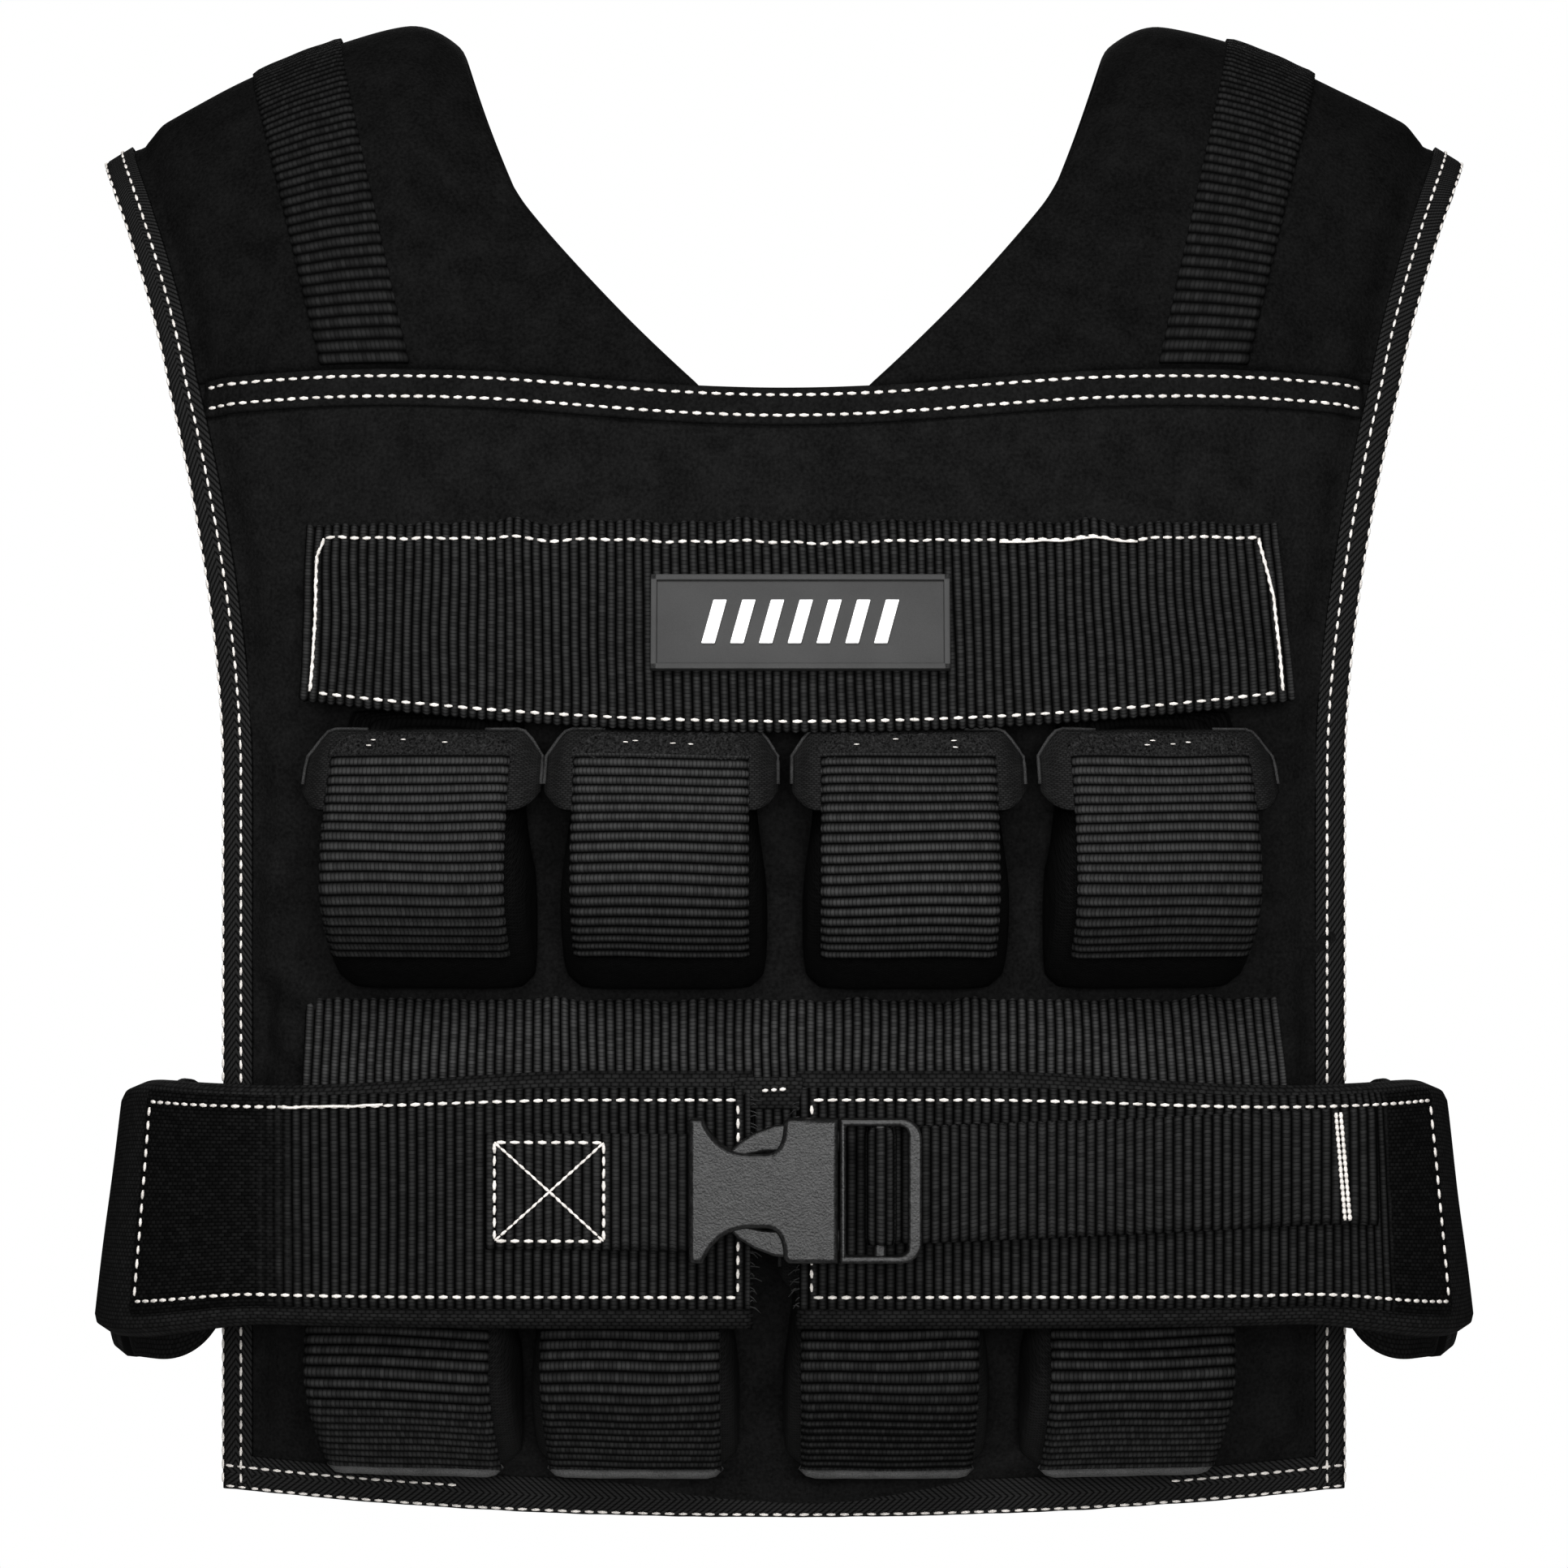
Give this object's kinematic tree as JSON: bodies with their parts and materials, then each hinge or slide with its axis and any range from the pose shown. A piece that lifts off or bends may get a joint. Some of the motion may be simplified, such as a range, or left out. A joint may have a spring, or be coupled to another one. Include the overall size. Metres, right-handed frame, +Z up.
{
  "type": "weighted vest",
  "caption": "Padded sleeveless training vest with strapped weight pouches on the chest, covering flaps and a buckled waist belt.",
  "frame": {"origin": "midway between the shoulders, at the height where they rest on the wearer", "axes": "+Z up; the chest, its pouches and the buckle face -Y; the wearer's left is on +X"},
  "size_m": [0.4754, 0.2911, 0.5087],
  "materials": {
    "padded_fabric": "matt brushed stretch fabric over foam",
    "webbing": "ribbed woven webbing, matt",
    "binding_twill": "twill tape, folded over the edge",
    "pouch_fabric": "matt woven nylon",
    "belt_fabric": "fine twill over foam",
    "rubber": "moulded soft rubber, matt",
    "plastic": "fine grained moulded plastic, satin",
    "thread": "thick off-white sewing thread"
  },
  "bodies": {
    "root": {"front_panel": "padded_fabric", "front_yoke_tape": "padded_fabric", "front_hem_binding": "binding_twill", "back_panel": "padded_fabric", "back_yoke_tape": "padded_fabric", "back_hem_binding": "binding_twill", "left_shoulder": "padded_fabric", "left_edge_binding": "binding_twill", "left_shoulder_strap": "webbing", "left_belt_pad": "belt_fabric", "left_belt_webbing": "webbing", "left_buckle_strap": "webbing", "right_shoulder": "padded_fabric", "right_edge_binding": "binding_twill", "right_shoulder_strap": "webbing", "right_belt_pad": "belt_fabric", "right_belt_webbing": "webbing", "right_buckle_strap": "webbing", "belt_back_patch": "webbing", "upper_flap": "webbing", "lower_flap": "webbing", "label_patch": "rubber", "pouch_upper_1": "pouch_fabric", "pouch_cover_upper_1": "pouch_fabric", "pouch_strap_upper_1": "webbing", "pouch_upper_2": "pouch_fabric", "pouch_cover_upper_2": "pouch_fabric", "pouch_strap_upper_2": "webbing", "pouch_upper_3": "pouch_fabric", "pouch_cover_upper_3": "pouch_fabric", "pouch_strap_upper_3": "webbing", "pouch_upper_4": "pouch_fabric", "pouch_cover_upper_4": "pouch_fabric", "pouch_strap_upper_4": "webbing", "pouch_lower_1": "pouch_fabric", "pouch_cover_lower_1": "pouch_fabric", "pouch_strap_lower_1": "webbing", "pouch_lower_2": "pouch_fabric", "pouch_cover_lower_2": "pouch_fabric", "pouch_strap_lower_2": "webbing", "pouch_lower_3": "pouch_fabric", "pouch_cover_lower_3": "pouch_fabric", "pouch_strap_lower_3": "webbing", "pouch_lower_4": "pouch_fabric", "pouch_cover_lower_4": "pouch_fabric", "pouch_strap_lower_4": "webbing", "buckle_socket": "plastic", "buckle_plug": "plastic"}
  },
  "joints": []
}
